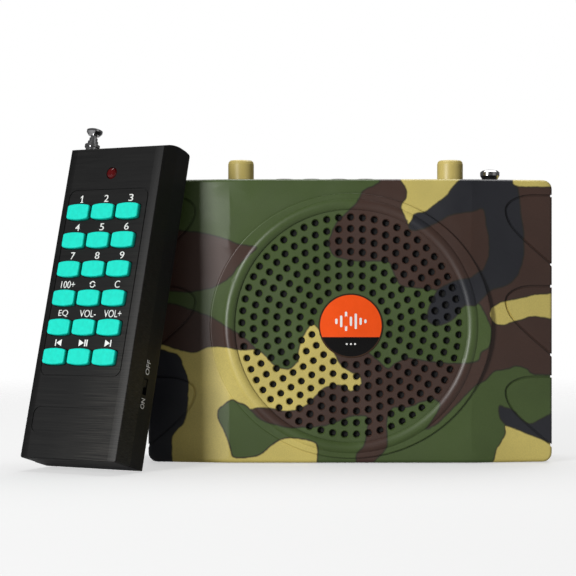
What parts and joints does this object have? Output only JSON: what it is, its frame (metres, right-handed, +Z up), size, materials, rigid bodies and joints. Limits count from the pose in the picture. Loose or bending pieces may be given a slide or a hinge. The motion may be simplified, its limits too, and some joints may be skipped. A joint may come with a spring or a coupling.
{
  "type": "electronic game caller",
  "caption": "Box loudspeaker with a round perforated grille, top knobs and telescopic antenna, with a slim keypad remote leaning on its front corner.",
  "frame": {"origin": "middle of the box's flat base, under its centre", "axes": "+X to the right seen from the front, -Y out of the front face, +Z up"},
  "size_m": [0.1893, 0.0869, 0.1219],
  "materials": {
    "camo_plastic": "satin moulded plastic printed with a green, brown, tan and black camouflage",
    "black_plastic": "fine grain black plastic",
    "tan_plastic": "satin tan plastic",
    "badge_resin": "clear resin dome over an orange and black print",
    "black_cloth": "woven acoustic cloth",
    "steel": "zinc plated",
    "ferrite": "sintered ferrite between steel plates",
    "soft_rubber": "matte moulded rubber",
    "cone_paper": "pressed paper pulp",
    "circuit_board": "green solder mask",
    "clear_window": "clear plastic over a grey display",
    "battery_wrap": "printed wrap, plain",
    "chrome": "bright chrome plate",
    "remote_plastic": "black plastic with a fine brushed grain",
    "red_lamp": "red diffused lens",
    "key_silicone": "translucent turquoise silicone"
  },
  "bodies": {
    "caller": {"front_shell": "camo_plastic", "rear_shell": "camo_plastic", "speaker_grille": "camo_plastic", "top_panel": "black_plastic", "dust_cloth": "black_cloth", "badge": "badge_resin", "speaker_basket": "steel", "speaker_magnet": "ferrite", "speaker_surround": "soft_rubber", "speaker_screws": "steel", "main_board": "circuit_board", "pot_bodies": "steel", "media_sockets": "steel", "jack_sockets": "black_plastic", "display_window": "clear_window", "battery_pack": "battery_wrap", "case_screws": "steel", "antenna_base": "chrome"},
    "volume_knob": {"volume_knob": "tan_plastic"},
    "echo_knob": {"echo_knob": "tan_plastic"},
    "button_mode": {"button_mode": "soft_rubber"},
    "button_previous": {"button_previous": "soft_rubber"},
    "button_play": {"button_play": "soft_rubber"},
    "button_next": {"button_next": "soft_rubber"},
    "speaker_cone": {"speaker_cone": "cone_paper"},
    "battery_door": {"battery_door": "camo_plastic"},
    "antenna_lower": {"antenna_section_1": "chrome"},
    "antenna_middle": {"antenna_section_2": "chrome"},
    "antenna_tip": {"antenna_section_3": "chrome"},
    "remote": {"remote_front_shell": "remote_plastic", "remote_rear_shell": "remote_plastic", "keypad_plate": "black_plastic", "remote_board": "circuit_board", "remote_led": "red_lamp", "remote_antenna_base": "chrome", "remote_battery": "battery_wrap", "remote_screws": "steel"},
    "remote_switch": {"remote_switch": "black_plastic"},
    "remote_battery_door": {"remote_battery_door": "remote_plastic"},
    "remote_antenna_lower": {"remote_antenna_section_1": "chrome"},
    "remote_antenna_middle": {"remote_antenna_section_2": "chrome"},
    "remote_antenna_tip": {"remote_antenna_section_3": "chrome"},
    "key_1": {"key_1": "key_silicone"},
    "key_2": {"key_2": "key_silicone"},
    "key_3": {"key_3": "key_silicone"},
    "key_4": {"key_4": "key_silicone"},
    "key_5": {"key_5": "key_silicone"},
    "key_6": {"key_6": "key_silicone"},
    "key_7": {"key_7": "key_silicone"},
    "key_8": {"key_8": "key_silicone"},
    "key_9": {"key_9": "key_silicone"},
    "key_100_plus": {"key_100_plus": "key_silicone"},
    "key_repeat": {"key_repeat": "key_silicone"},
    "key_clear": {"key_clear": "key_silicone"},
    "key_eq": {"key_eq": "key_silicone"},
    "key_volume_down": {"key_volume_down": "key_silicone"},
    "key_volume_up": {"key_volume_up": "key_silicone"},
    "key_previous": {"key_previous": "key_silicone"},
    "key_play_pause": {"key_play_pause": "key_silicone"},
    "key_next": {"key_next": "key_silicone"}
  },
  "joints": [
    {"name": "volume_turn", "type": "hinge", "parent": "caller", "child": "volume_knob", "pos_m": [-0.0403, 0, 0.105], "axis": [0, 0, -1], "range_deg": [0, 300]},
    {"name": "echo_turn", "type": "hinge", "parent": "caller", "child": "echo_knob", "pos_m": [0.038, 0, 0.105], "axis": [0, 0, -1], "range_deg": [0, 300]},
    {"name": "press_mode", "type": "slide", "parent": "caller", "child": "button_mode", "axis": [0, 0, -1], "range_m": [0, 0.0008], "stiffness_N_per_m": 600},
    {"name": "press_previous", "type": "slide", "parent": "caller", "child": "button_previous", "axis": [0, 0, -1], "range_m": [0, 0.0008], "stiffness_N_per_m": 600},
    {"name": "press_play", "type": "slide", "parent": "caller", "child": "button_play", "axis": [0, 0, -1], "range_m": [0, 0.0008], "stiffness_N_per_m": 600},
    {"name": "press_next", "type": "slide", "parent": "caller", "child": "button_next", "axis": [0, 0, -1], "range_m": [0, 0.0008], "stiffness_N_per_m": 600},
    {"name": "cone_stroke", "type": "slide", "parent": "caller", "child": "speaker_cone", "axis": [0, 1, 0], "range_m": [-0.001, 0.001], "stiffness_N_per_m": 2500, "deforming": ["speaker_surround"]},
    {"name": "battery_door_off", "type": "slide", "parent": "caller", "child": "battery_door", "axis": [0, 1, 0], "range_m": [0, 0.03]},
    {"name": "antenna_pull_1", "type": "slide", "parent": "caller", "child": "antenna_lower", "axis": [0, 0, 1], "range_m": [0, 0.076]},
    {"name": "antenna_pull_2", "type": "slide", "parent": "antenna_lower", "child": "antenna_middle", "axis": [0, 0, 1], "range_m": [0, 0.076]},
    {"name": "antenna_pull_3", "type": "slide", "parent": "antenna_middle", "child": "antenna_tip", "axis": [0, 0, 1], "range_m": [0, 0.074]},
    {"name": "remote_lift", "type": "slide", "parent": "caller", "child": "remote", "axis": [0, 0, 1], "range_m": [0, 0.16]},
    {"name": "press_key_1", "type": "slide", "parent": "remote", "child": "key_1", "axis": [0.4611, 0.8456, -0.2689], "range_m": [0, 0.0008], "stiffness_N_per_m": 600},
    {"name": "press_key_2", "type": "slide", "parent": "remote", "child": "key_2", "axis": [0.4611, 0.8456, -0.2689], "range_m": [0, 0.0008], "stiffness_N_per_m": 600},
    {"name": "press_key_3", "type": "slide", "parent": "remote", "child": "key_3", "axis": [0.4611, 0.8456, -0.2689], "range_m": [0, 0.0008], "stiffness_N_per_m": 600},
    {"name": "press_key_4", "type": "slide", "parent": "remote", "child": "key_4", "axis": [0.4611, 0.8456, -0.2689], "range_m": [0, 0.0008], "stiffness_N_per_m": 600},
    {"name": "press_key_5", "type": "slide", "parent": "remote", "child": "key_5", "axis": [0.4611, 0.8456, -0.2689], "range_m": [0, 0.0008], "stiffness_N_per_m": 600},
    {"name": "press_key_6", "type": "slide", "parent": "remote", "child": "key_6", "axis": [0.4611, 0.8456, -0.2689], "range_m": [0, 0.0008], "stiffness_N_per_m": 600},
    {"name": "press_key_7", "type": "slide", "parent": "remote", "child": "key_7", "axis": [0.4611, 0.8456, -0.2689], "range_m": [0, 0.0008], "stiffness_N_per_m": 600},
    {"name": "press_key_8", "type": "slide", "parent": "remote", "child": "key_8", "axis": [0.4611, 0.8456, -0.2689], "range_m": [0, 0.0008], "stiffness_N_per_m": 600},
    {"name": "press_key_9", "type": "slide", "parent": "remote", "child": "key_9", "axis": [0.4611, 0.8456, -0.2689], "range_m": [0, 0.0008], "stiffness_N_per_m": 600},
    {"name": "press_key_100_plus", "type": "slide", "parent": "remote", "child": "key_100_plus", "axis": [0.4611, 0.8456, -0.2689], "range_m": [0, 0.0008], "stiffness_N_per_m": 600},
    {"name": "press_key_repeat", "type": "slide", "parent": "remote", "child": "key_repeat", "axis": [0.4611, 0.8456, -0.2689], "range_m": [0, 0.0008], "stiffness_N_per_m": 600},
    {"name": "press_key_clear", "type": "slide", "parent": "remote", "child": "key_clear", "axis": [0.4611, 0.8456, -0.2689], "range_m": [0, 0.0008], "stiffness_N_per_m": 600},
    {"name": "press_key_eq", "type": "slide", "parent": "remote", "child": "key_eq", "axis": [0.4611, 0.8456, -0.2689], "range_m": [0, 0.0008], "stiffness_N_per_m": 600},
    {"name": "press_key_volume_down", "type": "slide", "parent": "remote", "child": "key_volume_down", "axis": [0.4611, 0.8456, -0.2689], "range_m": [0, 0.0008], "stiffness_N_per_m": 600},
    {"name": "press_key_volume_up", "type": "slide", "parent": "remote", "child": "key_volume_up", "axis": [0.4611, 0.8456, -0.2689], "range_m": [0, 0.0008], "stiffness_N_per_m": 600},
    {"name": "press_key_previous", "type": "slide", "parent": "remote", "child": "key_previous", "axis": [0.4611, 0.8456, -0.2689], "range_m": [0, 0.0008], "stiffness_N_per_m": 600},
    {"name": "press_key_play_pause", "type": "slide", "parent": "remote", "child": "key_play_pause", "axis": [0.4611, 0.8456, -0.2689], "range_m": [0, 0.0008], "stiffness_N_per_m": 600},
    {"name": "press_key_next", "type": "slide", "parent": "remote", "child": "key_next", "axis": [0.4611, 0.8456, -0.2689], "range_m": [0, 0.0008], "stiffness_N_per_m": 600},
    {"name": "remote_switch_slide", "type": "slide", "parent": "remote", "child": "remote_switch", "axis": [-0.1287, -0.2361, -0.9632], "range_m": [0, 0.0025]},
    {"name": "remote_battery_door_off", "type": "slide", "parent": "remote", "child": "remote_battery_door", "axis": [0.4611, 0.8456, -0.2689], "range_m": [0, 0.012]},
    {"name": "remote_antenna_pull_1", "type": "slide", "parent": "remote", "child": "remote_antenna_lower", "axis": [0.1287, 0.2361, 0.9632], "range_m": [0, 0.062]},
    {"name": "remote_antenna_pull_2", "type": "slide", "parent": "remote_antenna_lower", "child": "remote_antenna_middle", "axis": [0.1287, 0.2361, 0.9632], "range_m": [0, 0.062]},
    {"name": "remote_antenna_pull_3", "type": "slide", "parent": "remote_antenna_middle", "child": "remote_antenna_tip", "axis": [0.1287, 0.2361, 0.9632], "range_m": [0, 0.06]}
  ]
}
